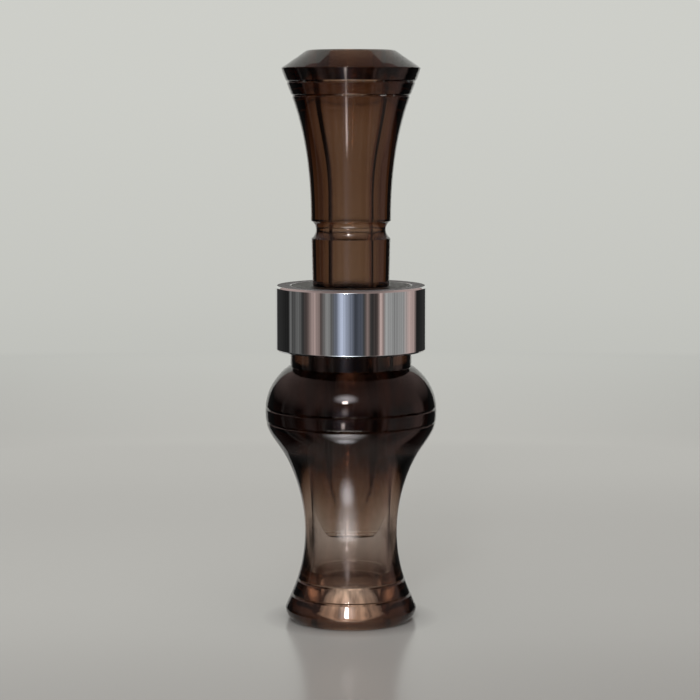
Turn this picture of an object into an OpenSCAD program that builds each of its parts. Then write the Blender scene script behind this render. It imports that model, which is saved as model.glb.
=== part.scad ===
// A bird call, stood on its mouthpiece.
// A turned barrel carries a polished band on its spigot. A one-piece insert plugs into the barrel
// with a tapered collar, and its toneboard carries a reed that a cork wedge holds down.
// The origin is the centre of the base, with +Z up. Lengths are in millimetres.

/* [Barrel outside] */
// Diameter of the flat ring that the call stands on
base_d = 25.2; // [20:0.1:27]
// Widest diameter of the foot, round the mouthpiece
foot_d = 27.8; // [27.2:0.1:34]
// Height of the foot's widest line
foot_h = 2.4; // [1.5:0.1:4]
// Diameter of the waist
waist_d = 19.5; // [18.6:0.1:26]
// Rise from the foot's widest line to the waist
waist_rise = 16.3; // [12:0.1:22]
// Diameter of the flank where it is steepest, between waist and bulb
flank_d = 29.66; // [26:0.02:33]
// Rise from the waist to the steepest line of the flank
flank_rise = 17.8; // [13:0.1:23]
// Widest diameter of the bulb
bulb_d = 36; // [33:0.1:42]
// Rise from the steepest line of the flank to the bulb's widest line
bulb_rise = 8.1; // [6:0.1:12]
// Rise from the bulb's widest line to the top of its shoulder
shoulder_rise = 9.25; // [6:0.05:14]
// Diameter of the neck, and of the spigot inside the band
spigot_d = 25.4; // [22:0.1:28]
// Bare neck between the shoulder and the band
neck_len = 3.35; // [1:0.05:8]

/* [Barrel inside] */
// Bore of the barrel
bore_d = 15.88; // [14:0.02:16.6]
// Depth of the tapered socket at the top of the bore
socket_len = 5.2; // [3:0.1:12]
// How much wider the socket is at its mouth than the bore
socket_flare = 0.24; // [0.1:0.02:0.5]
// Hole through the mouthpiece
mouth_d = 14.2; // [11:0.1:14.8]
// Length of the straight hole through the mouthpiece
mouth_len = 4; // [2.6:0.1:6]
// Rise of the long taper from the mouthpiece hole to the bore
mouth_cone_h = 6.3; // [3:0.1:8]
// Rounding of the mouthpiece hole at the base
mouth_round = 1.5; // [0.4:0.1:2]

/* [Turned lines] */
// Depth of the decorative lines
line_depth = 0.3; // [0.1:0.05:0.6]
// Width of the decorative lines at the surface
line_w = 0.6; // [0.3:0.05:1.2]
// Lower line on the foot, above its widest line
foot_line_low = 2.9; // [2:0.1:4.4]
// Upper line on the foot, above its widest line
foot_line_high = 6.1; // [5:0.1:8]
// Line on the bulb below its widest line
bulb_line_low = 2.44; // [1.5:0.02:5]
// Line on the bulb above its widest line
bulb_line_high = 0.54; // [0:0.02:2]
// Upper line on the bell, below its widest line
bell_line_high = 2.84; // [2:0.02:4]
// Lower line on the bell, below its widest line
bell_line_low = 5.7; // [5:0.1:9]

/* [Band] */
// Outside diameter of the band
band_d = 31.75; // [30:0.05:35]
// Height of the band
band_h = 13.6; // [9:0.1:20]
// Chamfer on the band's outer edges
band_chamfer = 0.4; // [0.1:0.05:0.9]
// Radial glue line between the band and the spigot
glue_gap = 0.02; // [0.01:0.01:0.05]

/* [Insert outside] */
// Radial gap between the insert and the barrel
fit_gap = 0.04; // [0.02:0.01:0.1]
// Tapered collar that shows between the band and the lanyard groove
collar_len = 9.8; // [6:0.1:14]
// Width of the lanyard groove
lanyard_w = 3.7; // [2.4:0.1:5]
// Depth of the lanyard groove
lanyard_depth = 1; // [0.5:0.05:1.6]
// Slimmest diameter of the bell, just above the lanyard groove
stem_d = 16.7; // [16:0.1:19]
// Rise of the flare, from the lanyard groove to the bell's widest line
flare_len = 31.6; // [24:0.1:40]
// Widest diameter of the bell
bell_d = 28.9; // [24:0.1:34]
// Rise of the bevel above the bell's widest line
bevel_h = 3.7; // [2:0.1:6]
// Outer diameter of the flat lip round the bell's mouth
lip_d = 17.2; // [16:0.1:20]

/* [Insert inside] */
// Bore of the exhaust, which runs on as the tone channel of the board
exhaust_d = 7.94; // [6:0.02:8.6]
// Diameter of the horn where its two cones meet
horn_d = 12.6; // [9:0.1:14]
// Diameter of the horn at the bell's mouth
bell_mouth_d = 14.8; // [13:0.1:15.6]
// Depth of the horn's inner cone
horn_inner_len = 13.4; // [8:0.1:18]
// Depth of the horn's outer cone
horn_outer_len = 11.6; // [6:0.1:14]

/* [Toneboard] */
// Full round tenon inside the barrel, from its mouth to the wedge
tenon_len = 7.7; // [6:0.1:10]
// Reach of the toneboard below the mouth of the barrel
board_len = 52.15; // [46:0.05:54]
// Distance of the board's flat face from the axis
face_drop = 0.5; // [0.2:0.05:1.5]
// Length of the board's face that is flat, before it curves away
face_flat_len = 13.1; // [10:0.1:20]
// Radius of the curve that the face follows to the tip
face_curve_r = 112; // [106:1:170]
// Width of the straight end of the tip
tip_w = 7.8; // [5:0.1:10]
// Length over which the sides of the tip round off to its end
tip_taper_len = 9.5; // [6:0.1:12]
// How far the tone channel stops short of the tip
channel_stop = 1.8; // [1:0.1:3]

/* [Reed and wedge] */
// Thickness of the reed
reed_t = 0.25; // [0.2:0.01:0.4]
// How far the reed stays in from the edges of the board
reed_side_gap = 1.6; // [0.4:0.05:2.4]
// How far the reed stops short of the tip
reed_tip_gap = 0.6; // [0.3:0.1:2]
// Size of the clipped corners of the reed
reed_clip = 2.8; // [0.5:0.1:3.5]
// Length of the cork wedge
wedge_len = 15; // [12:0.1:17]
// How much lower the top of the wedge is at its nose than at its heel
wedge_fall = 1.5; // [0.5:0.1:2.5]
// Radial gap between the wedge and the bore
wedge_gap = 0.1; // [0.05:0.01:0.3]
// Gap between the faces of the board, the reed and the wedge
seat_gap = 0.02; // [0.01:0.01:0.05]

/* [Hidden] */
$fn = 128;

// Faces along each curved stretch of an outline
curve_steps = 12;
// How far a cut runs past the face that it opens
overrun = 2;
// Small flat break on the end of the spigot and of the tenon
edge_break = 0.2;

// Handles of the curves, as shares of the rise or the width that each one spans
base_round_share = [0.5, 0.15, 0.55];
foot_flank_share = [0.34, 0.2, 0.5];
waist_flank_share = [0.558, 0.054];
flank_bulb_share = [0.457, 0.443];
flank_lean_share = 0.703;
shoulder_share = [0.63, 0.1];
flare_share = [0.63, 0.2, 0.136];
lip_round_share = [0.2, 0.12];
tip_side_share = [0.4, 0.762, 0.42];

// Radii and heights of the barrel, from the base up
base_r = base_d / 2;
foot_r = foot_d / 2;
waist_r = waist_d / 2;
flank_r = flank_d / 2;
bulb_r = bulb_d / 2;
spigot_r = spigot_d / 2;
bore_r = bore_d / 2;
mouth_r = mouth_d / 2;
socket_r = bore_r + socket_flare / 2;
waist_z = foot_h + waist_rise;
flank_z = waist_z + flank_rise;
bulb_z = flank_z + bulb_rise;
shoulder_z = bulb_z + shoulder_rise;
band_z = shoulder_z + neck_len;
barrel_top = band_z + band_h;

// Radii and heights of the insert, measured from the mouth of the barrel
taper = socket_flare / 2 / socket_len;
tenon_r = bore_r - fit_gap;
collar_mouth_r = socket_r - fit_gap;
collar_r = collar_mouth_r + taper * collar_len;
stem_r = stem_d / 2;
bell_r = bell_d / 2;
lip_r = lip_d / 2;
exhaust_r = exhaust_d / 2;
lanyard_z = barrel_top + collar_len;
flare_z = lanyard_z + lanyard_w;
bell_z = flare_z + flare_len;
bell_top = bell_z + bevel_h;
notch_z = barrel_top - tenon_len;
curve_z = notch_z - face_flat_len;
tip_z = barrel_top - board_len;

// Levels of the reed and the wedge across the board, and their ends
reed_y = seat_gap - face_drop;
wedge_y = reed_y + reed_t + seat_gap;
wedge_r = bore_r - wedge_gap;
reed_half_w = sqrt(pow(tenon_r, 2) - pow(face_drop, 2)) - reed_side_gap;
reed_tip_z = tip_z + reed_tip_gap;
root_gap = 5 * seat_gap;
heel_z = notch_z - root_gap;
nose_z = heel_z - wedge_len;

// Distance of the curved face from the axis at a height on the board
function face_y(z) = face_drop + face_curve_r - sqrt(pow(face_curve_r, 2) - pow(curve_z - z, 2));

// Points of a smooth curve from a to d, without a, pulled towards the handles b and c
function curve(a, b, c, d) = [
    for (i = [1 : curve_steps])
        let (t = i / curve_steps, s = 1 - t)
        s * s * s * a + 3 * s * s * t * b + 3 * s * t * t * c + t * t * t * d
];

// The barrel's outer outline, from the base up to the bottom of the band
base_curve = curve(
    [base_r, 0],
    [base_r + base_round_share[0] * (foot_r - base_r), base_round_share[1] * foot_h],
    [foot_r, base_round_share[2] * foot_h],
    [foot_r, foot_h]
);
foot_curve = curve(
    [foot_r, foot_h],
    [foot_r - foot_flank_share[0] * (foot_r - waist_r), foot_h + foot_flank_share[1] * waist_rise],
    [waist_r, waist_z - foot_flank_share[2] * waist_rise],
    [waist_r, waist_z]
);
flank_curve = curve(
    [waist_r, waist_z],
    [waist_r, waist_z + waist_flank_share[0] * flank_rise],
    [flank_r, flank_z] - waist_flank_share[1] * flank_rise * [flank_lean_share, 1],
    [flank_r, flank_z]
);
bulb_curve = curve(
    [flank_r, flank_z],
    [flank_r, flank_z] + flank_bulb_share[0] * bulb_rise * [flank_lean_share, 1],
    [bulb_r, bulb_z - flank_bulb_share[1] * bulb_rise],
    [bulb_r, bulb_z]
);
shoulder_curve = curve(
    [bulb_r, bulb_z],
    [bulb_r, bulb_z + shoulder_share[0] * shoulder_rise],
    [spigot_r + shoulder_share[1] * (bulb_r - spigot_r), shoulder_z],
    [spigot_r, shoulder_z]
);
barrel_skin = concat([[base_r, 0]], base_curve, foot_curve, flank_curve, bulb_curve, shoulder_curve);

// The bell's outer outline, from the lanyard groove up to the flat lip
flare_curve = curve(
    [stem_r, flare_z],
    [stem_r, flare_z + flare_share[0] * flare_len],
    [bell_r - flare_share[1] * (bell_r - stem_r), bell_z - flare_share[2] * flare_len],
    [bell_r, bell_z]
);
lip_curve = curve(
    [lip_r + lip_round_share[0] * (bell_r - lip_r), bell_top - lip_round_share[1] * bevel_h],
    [lip_r + lip_round_share[0] * (bell_r - lip_r) / 2, bell_top - lip_round_share[1] * bevel_h / 4],
    [lip_r + lip_round_share[0] * (bell_r - lip_r) / 4, bell_top],
    [lip_r, bell_top]
);
bell_skin = concat([[stem_r, flare_z]], flare_curve);

// Radius of an outline at a height
function skin_r(skin, z) = lookup(z, [for (p = skin) [p[1], p[0]]]);

// A turned line: a shallow V cut round an outline at a height
module turned_line(skin, z) {
    r = skin_r(skin, z);
    reach = line_w / 2 * (1 + overrun / line_depth);
    rotate_extrude()
        polygon([[r - line_depth, z], [r + overrun, z - reach], [r + overrun, z + reach]]);
}

// The turned barrel: mouthpiece and foot, waist, bulb, neck and spigot, bored right through
module barrel() {
    color([0.33, 0.24, 0.22, 0.75])
    difference() {
        rotate_extrude()
            polygon(concat(
                barrel_skin,
                [
                    [spigot_r, barrel_top - edge_break],
                    [spigot_r - edge_break, barrel_top],
                    [socket_r, barrel_top],
                    [bore_r, barrel_top - socket_len],
                    [bore_r, mouth_len + mouth_cone_h],
                    [mouth_r, mouth_len],
                    [mouth_r, mouth_round]
                ],
                curve(
                    [mouth_r, mouth_round],
                    [mouth_r, mouth_round / 2],
                    [mouth_r + mouth_round / 2, 0],
                    [mouth_r + mouth_round, 0]
                )
            ));
        turned_line(barrel_skin, foot_h + foot_line_low);
        turned_line(barrel_skin, foot_h + foot_line_high);
        turned_line(barrel_skin, bulb_z - bulb_line_low);
        turned_line(barrel_skin, bulb_z + bulb_line_high);
    }
}

// The polished band, glued on the spigot flush with its end
module band() {
    inner_r = spigot_r + glue_gap;
    outer_r = band_d / 2;
    color([0.80, 0.81, 0.83])
    rotate_extrude()
        polygon([
            [inner_r, band_z],
            [outer_r - band_chamfer, band_z],
            [outer_r, band_z + band_chamfer],
            [outer_r, barrel_top - band_chamfer],
            [outer_r - band_chamfer, barrel_top],
            [inner_r, barrel_top]
        ]);
}

// The full round of the insert, before its bore and its board are cut
module insert_round() {
    groove_r = (pow(lanyard_w / 2, 2) + pow(lanyard_depth, 2)) / (2 * lanyard_depth);
    lip_mean_r = (collar_r + stem_r) / 2;
    difference() {
        rotate_extrude()
            polygon(concat(
                [
                    [0, tip_z],
                    [tenon_r - edge_break, tip_z],
                    [tenon_r, tip_z + edge_break],
                    [tenon_r, barrel_top - socket_len],
                    [collar_mouth_r, barrel_top],
                    [collar_r, lanyard_z]
                ],
                bell_skin,
                [lip_curve[0]],
                lip_curve,
                [[0, bell_top]]
            ));
        rotate_extrude()
            translate([lip_mean_r - lanyard_depth + groove_r, lanyard_z + lanyard_w / 2])
                circle(r = groove_r);
        turned_line(bell_skin, bell_z - bell_line_low);
        turned_line(bell_skin, bell_z - bell_line_high);
    }
}

// The exhaust: a straight bore that opens into the two cones of the horn
module exhaust_cut() {
    straight_top = bell_top - horn_outer_len - horn_inner_len;
    mouth_grow = (bell_mouth_d - horn_d) / 2 / horn_outer_len;
    rotate_extrude()
        polygon([
            [0, tip_z + channel_stop],
            [exhaust_r, tip_z + channel_stop],
            [exhaust_r, straight_top],
            [horn_d / 2, bell_top - horn_outer_len],
            [bell_mouth_d / 2 + mouth_grow * overrun, bell_top + overrun],
            [0, bell_top + overrun]
        ]);
}

// What is milled away above the board's face, from the wedge's notch down past the tip
module board_cut() {
    wide = bore_d + overrun;
    past_z = tip_z - overrun;
    rotate([90, 0, 90])
    linear_extrude(height = wide, center = true)
        polygon(concat(
            [[bore_d, notch_z], [-face_drop, notch_z]],
            [
                for (i = [0 : 2 * curve_steps])
                    let (z = curve_z - (curve_z - past_z) * i / (2 * curve_steps))
                    [-face_y(z), z]
            ],
            [[bore_d, past_z]]
        ));
}

// What is rounded off the two sides of the tip
module tip_side_cut() {
    end_w = tip_w / 2;
    root_z = tip_z + tip_taper_len;
    root_w = sqrt(pow(tenon_r, 2) - pow(face_y(root_z), 2)) + edge_break;
    side_curve = curve(
        [end_w, tip_z],
        [end_w + tip_side_share[0] * (root_w - end_w), tip_z],
        [end_w + tip_side_share[1] * (root_w - end_w), tip_z + tip_side_share[2] * tip_taper_len],
        [root_w, root_z]
    );
    for (side = [0, 1])
        mirror([side, 0, 0])
        rotate([90, 0, 0])
        linear_extrude(height = bore_d)
            polygon(concat(
                [[end_w, tip_z - overrun], [end_w, tip_z]],
                side_curve,
                [[root_w + overrun, root_z], [root_w + overrun, tip_z - overrun]]
            ));
}

// The insert: bell, lanyard groove, tapered collar and toneboard, in one piece
module insert() {
    color([0.29, 0.22, 0.16, 0.8])
    difference() {
        insert_round();
        exhaust_cut();
        board_cut();
        tip_side_cut();
    }
}

// The reed: a thin strip along the board's face, with clipped corners at its tip
module reed() {
    color([0.85, 0.86, 0.86, 0.8])
    translate([0, reed_y + reed_t, 0])
    rotate([90, 0, 0])
    linear_extrude(height = reed_t)
        polygon([
            [-reed_half_w, heel_z],
            [-reed_half_w, reed_tip_z + reed_clip],
            [reed_clip - reed_half_w, reed_tip_z],
            [reed_half_w - reed_clip, reed_tip_z],
            [reed_half_w, reed_tip_z + reed_clip],
            [reed_half_w, heel_z]
        ]);
}

// The cork wedge: flat below, round above, and lower at its nose
module wedge() {
    wide = 2 * bore_d;
    color([0.71, 0.53, 0.35])
    difference() {
        translate([0, 0, nose_z])
            cylinder(r = wedge_r, h = wedge_len);
        translate([-wide / 2, wedge_y - wide, nose_z - overrun])
            cube([wide, wide, wedge_len + 2 * overrun]);
        translate([0, wedge_r, heel_z])
            rotate([atan(wedge_fall / wedge_len), 0, 0])
            translate([-wide / 2, 0, -wide])
                cube([wide, wide, wide + overrun]);
    }
}

barrel();
band();
insert();
reed();
wedge();
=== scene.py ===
import math

import bpy
from bpy.props import FloatProperty, FloatVectorProperty, IntProperty, PointerProperty
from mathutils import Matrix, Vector


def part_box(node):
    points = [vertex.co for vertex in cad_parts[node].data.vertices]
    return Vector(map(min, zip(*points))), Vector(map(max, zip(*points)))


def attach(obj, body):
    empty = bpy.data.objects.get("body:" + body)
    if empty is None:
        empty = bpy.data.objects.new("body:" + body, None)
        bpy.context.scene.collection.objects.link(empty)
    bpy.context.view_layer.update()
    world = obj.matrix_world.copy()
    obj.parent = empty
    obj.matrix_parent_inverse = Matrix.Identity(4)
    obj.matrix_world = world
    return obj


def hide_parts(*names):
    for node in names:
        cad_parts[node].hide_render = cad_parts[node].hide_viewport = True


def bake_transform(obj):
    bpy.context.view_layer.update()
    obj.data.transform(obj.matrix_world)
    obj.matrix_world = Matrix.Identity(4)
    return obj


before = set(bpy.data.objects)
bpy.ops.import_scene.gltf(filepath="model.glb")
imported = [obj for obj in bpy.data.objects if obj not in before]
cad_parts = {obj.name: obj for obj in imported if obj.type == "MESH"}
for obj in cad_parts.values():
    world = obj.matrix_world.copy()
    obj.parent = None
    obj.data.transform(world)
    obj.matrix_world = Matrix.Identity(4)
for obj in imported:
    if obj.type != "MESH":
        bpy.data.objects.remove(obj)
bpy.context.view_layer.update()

bl_info = {
    "name": "Bird call",
    "version": (1, 0, 0),
    "blender": (4, 5, 0),
    "location": "View3D > Sidebar > Bird call",
    "description": "Turned acrylic bird call with a band, an insert, a reed and a wedge",
    "category": "Add Mesh",
}

MM = 0.001


def low(node):
    """Lowest corner of a node of the frame."""
    return Vector(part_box(node)[0])


def high(node):
    """Highest corner of a node of the frame."""
    return Vector(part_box(node)[1])


def length(name, text, millimetres):
    """A size that the sidebar shows as a length."""
    return FloatProperty(
        name=name, description=text, default=millimetres * MM, unit="LENGTH", min=0.0
    )


def tint(name, text, default):
    """A colour that the sidebar shows as a swatch."""
    return FloatVectorProperty(
        name=name, description=text, default=default, subtype="COLOR", size=3, min=0.0, max=1.0
    )


class CallSizes(bpy.types.PropertyGroup):
    """Driving sizes of the call, the same as in the construction, here in millimetres."""

    base_d: length("Base", "Diameter of the flat ring that the call stands on", 25.2)
    foot_d: length("Foot", "Widest diameter of the foot", 27.8)
    foot_h: length("Foot height", "Height of the foot's widest line", 2.4)
    waist_d: length("Waist", "Diameter of the waist", 19.5)
    waist_rise: length("Waist rise", "Rise from the foot's widest line to the waist", 16.3)
    flank_d: length("Flank", "Diameter where the flank is steepest", 29.66)
    flank_rise: length("Flank rise", "Rise from the waist to the flank", 17.8)
    bulb_rise: length("Bulb rise", "Rise from the flank to the bulb's widest line", 8.1)
    shoulder_rise: length("Shoulder rise", "Rise from the bulb to its shoulder", 9.25)
    spigot_d: length("Spigot", "Diameter of the neck and the spigot", 25.4)
    bore_d: length("Bore", "Bore of the barrel", 15.88)
    socket_len: length("Socket", "Depth of the tapered socket", 5.2)
    socket_flare: length("Socket flare", "How much wider the socket is at its mouth", 0.24)
    mouth_d: length("Mouthpiece", "Hole through the mouthpiece", 14.2)
    mouth_len: length("Mouthpiece length", "Length of the straight hole", 4)
    mouth_cone_h: length("Mouthpiece cone", "Rise of the long taper up to the bore", 6.3)
    mouth_round: length("Mouthpiece round", "Rounding of the hole at the base", 1.5)
    line_depth: length("Line depth", "Depth of the turned lines", 0.3)
    line_w: length("Line width", "Width of the turned lines", 0.6)
    foot_line_low: length("Foot line, low", "Above the foot's widest line", 2.9)
    foot_line_high: length("Foot line, high", "Above the foot's widest line", 6.1)
    bulb_line_low: length("Bulb line, low", "Below the bulb's widest line", 2.44)
    bulb_line_high: length("Bulb line, high", "Above the bulb's widest line", 0.54)
    bell_line_high: length("Bell line, high", "Below the bell's widest line", 2.84)
    bell_line_low: length("Bell line, low", "Below the bell's widest line", 5.7)
    band_chamfer: length("Band chamfer", "Chamfer on the band's edges", 0.4)
    fit_gap: length("Fit gap", "Radial gap between the insert and the barrel", 0.04)
    collar_len: length("Collar", "Tapered collar between the band and the groove", 9.8)
    lanyard_w: length("Lanyard groove", "Width of the lanyard groove", 3.7)
    lanyard_depth: length("Lanyard depth", "Depth of the lanyard groove", 1)
    stem_d: length("Stem", "Slimmest diameter of the bell", 16.7)
    flare_len: length("Flare", "Rise of the flare to the bell's widest line", 31.6)
    bevel_h: length("Bevel", "Rise of the bevel above the bell's widest line", 3.7)
    lip_d: length("Lip", "Outer diameter of the flat lip", 17.2)
    exhaust_d: length("Exhaust", "Bore of the exhaust and the tone channel", 7.94)
    horn_d: length("Horn", "Diameter where the horn's cones meet", 12.6)
    bell_mouth_d: length("Bell mouth", "Diameter of the horn at the mouth", 14.8)
    horn_inner_len: length("Inner cone", "Depth of the horn's inner cone", 13.4)
    horn_outer_len: length("Outer cone", "Depth of the horn's outer cone", 11.6)
    tenon_len: length("Tenon", "Full round tenon inside the barrel", 7.7)
    face_drop: length("Face", "Distance of the board's face from the axis", 0.5)
    face_flat_len: length("Flat face", "Length of the face that is flat", 13.1)
    face_curve_r: length("Face curve", "Radius of the curve of the face", 112)
    tip_w: length("Tip", "Width of the straight end of the tip", 7.8)
    tip_taper_len: length("Tip taper", "Length over which the sides round off", 9.5)
    channel_stop: length("Channel stop", "How far the channel stops short of the tip", 1.8)
    reed_clip: length("Reed corners", "Size of the clipped corners", 2.8)
    wedge_fall: length("Wedge fall", "How much lower the wedge is at its nose", 1.5)
    turns: IntProperty(name="Facets", description="Steps of each turned shape", default=192, min=24)


class CallColours(bpy.types.PropertyGroup):
    """Colours of the call's finishes."""

    barrel: tint("Barrel tint", "What the barrel's acrylic lets through", (0.54, 0.39, 0.29))
    insert: tint("Insert tint", "What the insert's acrylic lets through", (0.51, 0.32, 0.16))
    band: tint("Band", "Polished aluminium", (0.90, 0.905, 0.915))
    reed: tint("Reed", "Clear polyester film", (0.95, 0.96, 0.97))
    cork: tint("Cork", "Light grain of the cork", (0.62, 0.42, 0.24))
    floor: tint("Floor", "Diffuse colour of the paper", (0.32, 0.32, 0.305))
    paper: tint("Paper", "Tone of the light that the paper gives back", (1.0, 1.01, 0.95))


# Shapes: outlines in the plane of radius and height

SOFT_STEPS = 28
EDGE_STEPS = 4

# Where the handles of a smooth curve lie, as shares of the way across and up
BASE_PULL = ((0.5, 0.15), (1, 0.55))
FOOT_PULL = ((0.34, 0.2), (1, 0.5))
WAIST_PULL = (0, 0.558)
BULB_PULL = (1, 0.557)
SHOULDER_PULL = ((0, 0.63), (0.9, 1))
FLARE_PULL = ((0, 0.63), (0.8, 0.864))
TIP_SIDE_PULL = ((0.4, 0), (0.762, 0.42))
ROUND_PULL = ((0, 0.5), (0.5, 1))

# The flank's slope where it is steepest, and how far the handles reach along it
FLANK_LEAN = (0.703, 1)
LEAN_DOWN = 0.054
LEAN_UP = 0.457

# The lip's rounding, as shares of its bevel's width and height
LIP_ROUND_SHARE = (0.2, 0.12)

# Radii of edges and of the bends in the horn, with the steps that the larger ones take
HORN_ROUND = 120 * MM
HORN_STEPS = (10, 12)
BASE_STEPS = 10
ROUND_STEPS = 8
BARREL_SOFT = 0.2 * MM
BAND_SOFT = 0.12 * MM
INSERT_SOFT = 0.15 * MM

# How far past the tenon's side the filing of the tip begins
TIP_MARGIN = 0.2 * MM


def curve(a, b, c, d, steps=SOFT_STEPS):
    """Points of a smooth curve from a to d, without a, pulled towards b and c."""
    a, b, c, d = Vector(a), Vector(b), Vector(c), Vector(d)
    points = []
    for i in range(1, steps + 1):
        t = i / steps
        s = 1 - t
        points.append(s * s * s * a + 3 * s * s * t * b + 3 * s * t * t * c + t * t * t * d)
    return points


def toward(a, b, across, up):
    """The point that lies at a share of the way from a to b, across and up."""
    return Vector((a[0] + across * (b[0] - a[0]), a[1] + up * (b[1] - a[1])))


def eased(a, b, pulls, steps=SOFT_STEPS):
    """Points of a smooth curve from a to b, without a."""
    return curve(a, toward(a, b, *pulls[0]), toward(a, b, *pulls[1]), b, steps)


def rounded(before, corner, after, radius, steps=EDGE_STEPS):
    """Points of the arc that rounds a corner, with a guard point on each long side of it."""
    corner = Vector(corner)
    back, ahead = Vector(before) - corner, Vector(after) - corner
    sides = back.length, ahead.length
    back.normalize()
    ahead.normalize()
    half = back.angle(ahead) / 2
    reach = radius / math.tan(half)
    guard = reach + radius / 2
    centre = corner + (back + ahead).normalized() * radius / math.sin(half)
    start = corner + back * reach - centre
    end = corner + ahead * reach - centre
    sweep = start.angle(end)
    points = []
    for i in range(steps + 1):
        t = i / steps
        mix = (math.sin((1 - t) * sweep) * start + math.sin(t * sweep) * end) / math.sin(sweep)
        points.append(centre + mix)
    if sides[0] > 3 * guard:
        points.insert(0, corner + back * guard)
    if sides[1] > 3 * guard:
        points.append(corner + ahead * guard)
    return points


def rounded_line(corners, radius):
    """Points of a line with every corner rounded but its ends."""
    points = []
    for three in zip(corners, corners[1:], corners[2:]):
        points += rounded(*three, radius)
    return points


def radius_at(outline, z):
    """Radius of an outline that rises steadily, at one height."""
    for a, b in zip(outline, outline[1:]):
        if a[1] <= z <= b[1] and b[1] > a[1]:
            return a[0] + (b[0] - a[0]) * (z - a[1]) / (b[1] - a[1])
    raise ValueError(f"the outline does not reach {z}")


def with_line(outline, z, depth, width):
    """The outline with one turned line, a V with soft lips, cut at a height."""
    low_z, high_z = z - width / 2, z + width / 2
    bottom = Vector((radius_at(outline, z) - depth, z))
    low_p = Vector((radius_at(outline, low_z), low_z))
    high_p = Vector((radius_at(outline, high_z), high_z))
    lip = depth / 4
    below = [p for p in outline if p[1] < low_z - lip]
    above = [p for p in outline if p[1] > high_z + lip]
    cut = rounded(below[-1], low_p, bottom, lip)
    cut += rounded(low_p, bottom, high_p, lip / 2)
    cut += rounded(bottom, high_p, above[0], lip)
    return below + cut + above


def barrel_skin(s):
    """Outer outline of the barrel, from the base up to its shoulder, and the bulb's height."""
    waist_z = s.foot_h + s.waist_rise
    flank_z = waist_z + s.flank_rise
    bulb_z = flank_z + s.bulb_rise
    base, foot = Vector((s.base_d / 2, 0)), Vector((s.foot_d / 2, s.foot_h))
    waist, flank = Vector((s.waist_d / 2, waist_z)), Vector((s.flank_d / 2, flank_z))
    bulb, neck = (high("barrel").x, bulb_z), (s.spigot_d / 2, bulb_z + s.shoulder_rise)
    lean = Vector(FLANK_LEAN)
    below, above = flank - LEAN_DOWN * s.flank_rise * lean, flank + LEAN_UP * s.bulb_rise * lean
    skin = [base] + eased(base, foot, BASE_PULL, BASE_STEPS) + eased(foot, waist, FOOT_PULL)
    skin += curve(waist, toward(waist, flank, *WAIST_PULL), below, flank)
    skin += curve(flank, above, toward(flank, bulb, *BULB_PULL), bulb)
    return skin + eased(bulb, neck, SHOULDER_PULL), bulb_z


def barrel_outline(s):
    """Closed outline of the barrel: its skin, the spigot, the bore and the mouthpiece hole."""
    skin, bulb_z = barrel_skin(s)
    for z in (
        s.foot_h + s.foot_line_low,
        s.foot_h + s.foot_line_high,
        bulb_z - s.bulb_line_low,
        bulb_z + s.bulb_line_high,
    ):
        skin = with_line(skin, z, s.line_depth, s.line_w)
    top = high("barrel").z
    spigot_r, bore_r, mouth_r = s.spigot_d / 2, s.bore_d / 2, s.mouth_d / 2
    socket_r = bore_r + s.socket_flare / 2
    cone_z = s.mouth_len + s.mouth_cone_h
    socket, inner = Vector((bore_r, top - s.socket_len)), Vector((mouth_r, s.mouth_round))
    outline = skin + rounded_line([skin[-1], (spigot_r, top), (socket_r, top), socket], BARREL_SOFT)
    cone = [(bore_r, top), (bore_r, cone_z), (mouth_r, s.mouth_len), (mouth_r, 0)]
    outline += [socket] + rounded_line(cone, BARREL_SOFT) + [inner]
    return outline + eased(inner, (mouth_r + s.mouth_round, 0), ROUND_PULL, ROUND_STEPS)


def band_outline(s):
    """Closed outline of the band, with soft chamfers."""
    outer, bottom, top = high("band").x, low("band").z, high("band").z
    inner = s.spigot_d / 2 + s.fit_gap / 2
    c = s.band_chamfer
    corners = [
        (inner, bottom),
        (outer - c, bottom),
        (outer, bottom + c),
        (outer, top - c),
        (outer - c, top),
        (inner, top),
    ]
    return rounded_line([corners[-1], *corners, corners[0]], BAND_SOFT)


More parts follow.
